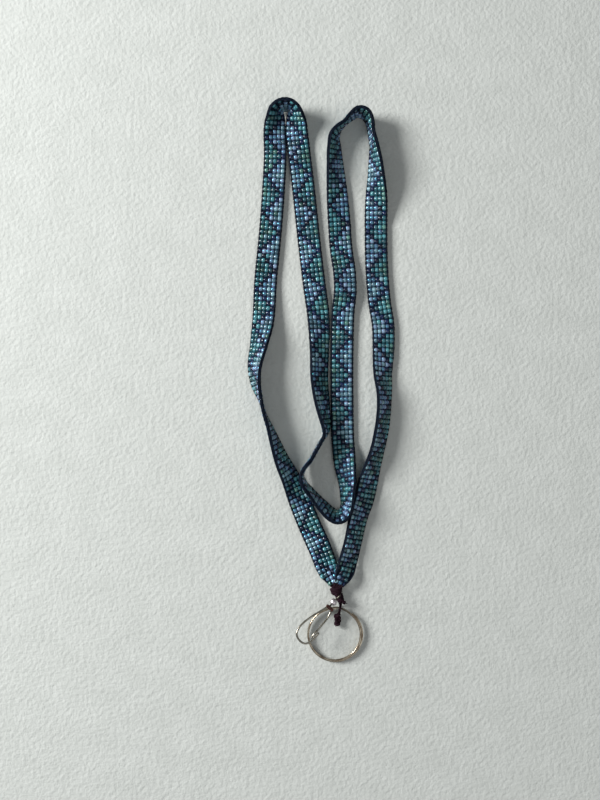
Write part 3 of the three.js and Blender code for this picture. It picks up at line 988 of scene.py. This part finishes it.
def make_swivel(steel, satin, copper, thread):
    """Eye and ball, which turn together, the pin and collar that turn in the ball, and the bail."""
    eye = []
    for k in range(EYE_STEPS):
        turn = math.tau * k / EYE_STEPS
        eye.append(Vector((0, -EYE_REACH + EYE_RADIUS * math.cos(turn), EYE_RADIUS * math.sin(turn))))
    loop = joined([sweep(eye, EYE_WIRE, sides=14, closed=True), lathe_mm(SHANK, 20)])
    add_mesh("swivel_loop", *moved_to_snap(loop), steel, "snap_steel", "swivel", ["swivel_eye"])
    shell = moved_to_snap(lathe(ball_profile(), 40))
    add_mesh("swivel_shell", *shell, satin, "snap_steel", "swivel", ["swivel_ball"])
    pin = moved_to_snap(lathe_mm(PIN, 24))
    add_mesh("swivel_pin", *pin, steel, "snap_steel", "clip", ["swivel_stem"])
    add_mesh("crimp_collar", *moved_to_snap(collar()), copper, "collar_copper", "clip", ["clip_collar"])
    make_bail(thread)


def ball_profile():
    """Outside of the hollow ball from the eye's end, then back along its inside."""
    profile = [(0, -BALL_RADIUS)]
    for k in range(1, BALL_STEPS + 1):
        angle = math.radians(-90 + k * BALL_ARC / BALL_STEPS)
        profile.append((BALL_RADIUS * math.cos(angle), BALL_RADIUS * math.sin(angle)))
    profile.extend((r * MM, y * MM) for r, y in BALL_INSIDE)
    return profile


def make_bail(thread):
    """Two strands of thread from the wrapping through the eye, and down behind it."""
    eye_centre = on_snap((0, -EYE_REACH, 0))
    across = SNAP_TURN @ Vector((1, 0, 0))
    strands = []
    for shift in (-BAIL_SHIFT, BAIL_SHIFT):
        beside = SNAP_TURN @ Vector((0, shift, 0))
        points = [eye_centre + across * x * MM + UP * z * MM + beside for x, z in BAIL_DROPS]
        strands.append(sweep(smooth_path([BAIL_START, *points], 6), BAIL_WIRE))
    add_mesh("eye_thread", *joined(strands), thread, "thread", "strap", ["swivel_bail"])


def collar():
    """A flat strip crimped round the two wires: round ends and a pinched middle."""
    sections = []
    for k in range(COLLAR_STEPS + 1):
        x = 2 * k / COLLAR_STEPS - 1
        end = max(max(0.0, 1 - abs(x) ** 6) ** 0.5, COLLAR_END)
        pinch = 1 - PINCH_DEPTH * math.exp(-((x / PINCH_WIDTH) ** 2)) + 0.05 * math.cos(x * 14)
        centre = COLLAR_CENTRE + Vector((x * COLLAR_HALF.x, 0, 0))
        wide = COLLAR_HALF.y * end
        tall = COLLAR_HALF.z * end * pinch
        section = ring_of_points(
            centre, Vector((0, 1, 0)), UP, wide, tall, sides=20, squareness=0.45
        )
        sections.append(section)
    return loft(sections)


def make_snap(steel):
    """Bent hook wire and the sprung gate wire whose thickened tip closes on it."""
    hook = [on_snap((x * MM, y * MM, 0)) for x, y in SNAP_ROUTE]
    hook_shape = sweep(smooth_path(hook, 10), SNAP_WIRE, sides=14, rounded_ends=True)
    add_mesh("hook_wire", *hook_shape, steel, "snap_steel", "clip", ["snap_wire"])
    gate = [on_snap((x * MM, y * MM, 0)) for x, y in GATE_ROUTE]
    gate_shape = sweep(smooth_path(gate, 12), gate_radius, sides=14, rounded_ends=True)
    add_mesh("gate_wire", *gate_shape, steel, "snap_steel", "gate", ["snap_gate"])


def gate_radius(t):
    """Radius of the gate wire at 0..1 along it."""
    return SNAP_WIRE * (GATE_SHARE + BULGE * math.exp(-(((t - BULGE_AT) / BULGE_WIDTH) ** 4)))


def make_ring(nickel):
    """Nearly two turns of one wire, with a step where it climbs from one turn to the next."""
    seat = Vector((math.cos(SLEEVE_ANGLE), math.sin(SLEEVE_ANGLE), 0)) * (RING_RADIUS - RING_SPLAY / 4)
    tilt = Matrix.Rotation(RING_TILT, 3, "X")
    origin = SLEEVE_CENTRE - tilt @ seat
    sections = []
    for k in range(RING_STEPS + 1):
        turned = RING_SWEEP * k / RING_STEPS
        angle = RING_START - turned
        t = min(max((turned - math.tau + RING_CROSSOVER) / RING_CROSSOVER, 0), 1)
        climb = t * t * (3 - 2 * t)
        inward = climb * (1 + math.cos(angle + RING_CROSSOVER)) / 2
        outward = Vector((math.cos(angle), math.sin(angle), 0))
        centre = outward * (RING_RADIUS - RING_SPLAY * inward) + UP * (climb - 0.5) * RING_PITCH
        from_end = min(k, RING_STEPS - k)
        size = RING_WIRE * min(1.0, RING_END + (1 - RING_END) * from_end / RING_END_STEPS)
        tall = size * RING_TALLNESS
        section = ring_of_points(centre, outward, UP, size, tall, sides=16, squareness=0.8)
        sections.append([origin + tilt @ p for p in section])
    add_mesh("key_ring", *loft(sections), nickel, "ring_nickel", "ring", ["split_ring"])


# ---- Stage -------------------------------------------------------------------------------------

FLOOR_DROP = 0.05 * MM
FLOOR_TINTS = [(0.3, (0.50, 0.52, 0.49)), (0.7, (0.54, 0.56, 0.53))]


def make_stage():
    """Plain pale floor, soft daylight from the upper left, a weak fill and a dim even sky."""
    bpy.ops.mesh.primitive_plane_add(size=4, location=(0, 0, -FLOOR_DROP))
    floor = bpy.context.object
    floor.name = "floor"
    material, tree, shader = new_material("pale_floor")
    tint = ramp(tree, noise(tree, FLOOR_TINT, 6), FLOOR_TINTS)
    tree.links.new(tint, shader.inputs["Base Color"])
    shader.inputs["Roughness"].default_value = 0.9
    bump(tree, shader, noise(tree, FLOOR_GRAIN, 4), strength=0.5, distance=0.9 * MM)
    floor.data.materials.append(material)
    add_light("window", (-0.90, 0.32, 0.56), size=0.42, power=21)
    add_light("fill", (0.35, -0.4, 0.85), size=0.9, power=2.2)
    world = bpy.data.worlds.new("sky")
    bpy.context.scene.world = world
    world.use_nodes = True
    background = world.node_tree.nodes["Background"]
    background.inputs["Color"].default_value = (0.90, 0.94, 1.0, 1)
    background.inputs["Strength"].default_value = 0.20


def add_light(name, place, size, power):
    data = bpy.data.lights.new(name, "AREA")
    data.size = size
    data.energy = power
    light = bpy.data.objects.new(name, data)
    light.location = place
    light.rotation_euler = (-Vector(place)).to_track_quat("-Z", "Y").to_euler()
    bpy.context.scene.collection.objects.link(light)


bpy.context.scene.view_settings.view_transform = "Standard"
make_camera()
dark_thread = thread_fabric("navy_thread", (0.001, 0.003, 0.009), (0.005, 0.012, 0.026))
plum_thread = thread_fabric("plum_thread", (0.006, 0.002, 0.004), (0.034, 0.010, 0.020))
steel = worn_metal("snap_steel", (0.34, 0.32, 0.27), (0.12, 0.11, 0.085), 0.12, 0.34)
nickel = worn_metal("ring_nickel", (0.52, 0.46, 0.36), (0.17, 0.12, 0.08), 0.12, 0.34)
satin = worn_metal("satin_steel", (0.86, 0.80, 0.80), (0.52, 0.45, 0.46), 0.30, 0.48)
copper = worn_metal("collar_copper", (0.12, 0.05, 0.04), (0.035, 0.02, 0.018), 0.25, 0.5)
make_strap(dark_thread)
make_end_wraps(plum_thread)
make_sling(plum_thread)
make_swivel(steel, satin, copper, plum_thread)
make_snap(steel)
make_ring(nickel)
make_stage()
